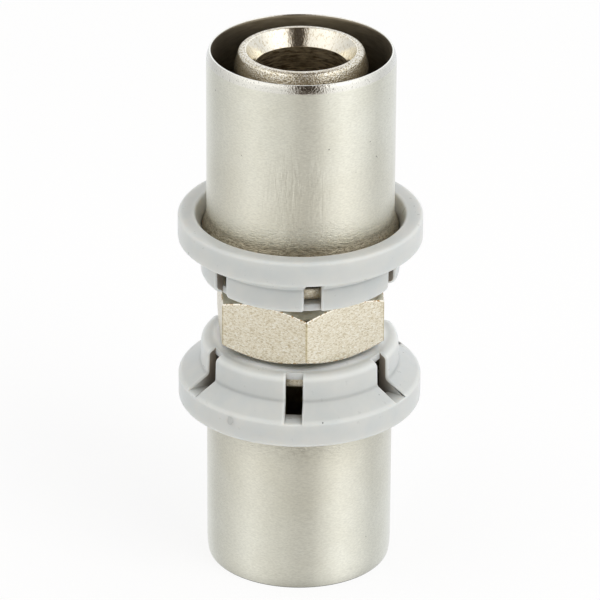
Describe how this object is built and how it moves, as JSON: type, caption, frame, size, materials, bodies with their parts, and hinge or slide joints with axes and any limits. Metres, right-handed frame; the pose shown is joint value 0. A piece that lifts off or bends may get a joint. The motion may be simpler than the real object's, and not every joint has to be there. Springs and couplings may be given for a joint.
{
  "type": "press fit coupling",
  "caption": "Straight press-fit pipe coupling with a plated brass hexagon body, barbed inserts, stainless press sleeves and windowed plastic retaining rings.",
  "frame": {"origin": "middle of the lower end, where both the lower press sleeve and the lower insert end", "axes": "+Z along the waterway from the lower end to the upper end; two of the hexagon's flats face +X and -X, and a corner points to -Y, the viewer's side"},
  "size_m": [0.0296, 0.0296, 0.0666],
  "materials": {
    "nickelled_brass": "nickel plated over a fine shot-blasted texture, pale gold, satin",
    "stainless_steel": "satin drawn tube with fine pits and scratches",
    "grey_plastic": "light grey moulded plastic, satin",
    "black_rubber": "smooth black EPDM, lightly greased"
  },
  "bodies": {
    "fitting": {"coupling_body": "nickelled_brass", "upper_inner_o_ring": "black_rubber", "upper_outer_o_ring": "black_rubber", "lower_inner_o_ring": "black_rubber", "lower_outer_o_ring": "black_rubber"},
    "upper_ring": {"upper_retaining_ring": "grey_plastic"},
    "upper_sleeve": {"upper_press_sleeve": "stainless_steel"},
    "lower_ring": {"lower_retaining_ring": "grey_plastic"},
    "lower_sleeve": {"lower_press_sleeve": "stainless_steel"}
  },
  "joints": [
    {"name": "upper_ring_turn", "type": "hinge", "parent": "fitting", "child": "upper_ring", "pos_m": [0, 0, 0.0413], "axis": [0, 0, 1], "continuous": true},
    {"name": "upper_sleeve_turn", "type": "hinge", "parent": "upper_ring", "child": "upper_sleeve", "pos_m": [0, 0, 0.0546], "axis": [0, 0, 1], "continuous": true},
    {"name": "lower_ring_turn", "type": "hinge", "parent": "fitting", "child": "lower_ring", "pos_m": [0, 0, 0.0253], "axis": [0, 0, 1], "continuous": true},
    {"name": "lower_sleeve_turn", "type": "hinge", "parent": "lower_ring", "child": "lower_sleeve", "pos_m": [0, 0, 0.012], "axis": [0, 0, 1], "continuous": true}
  ]
}
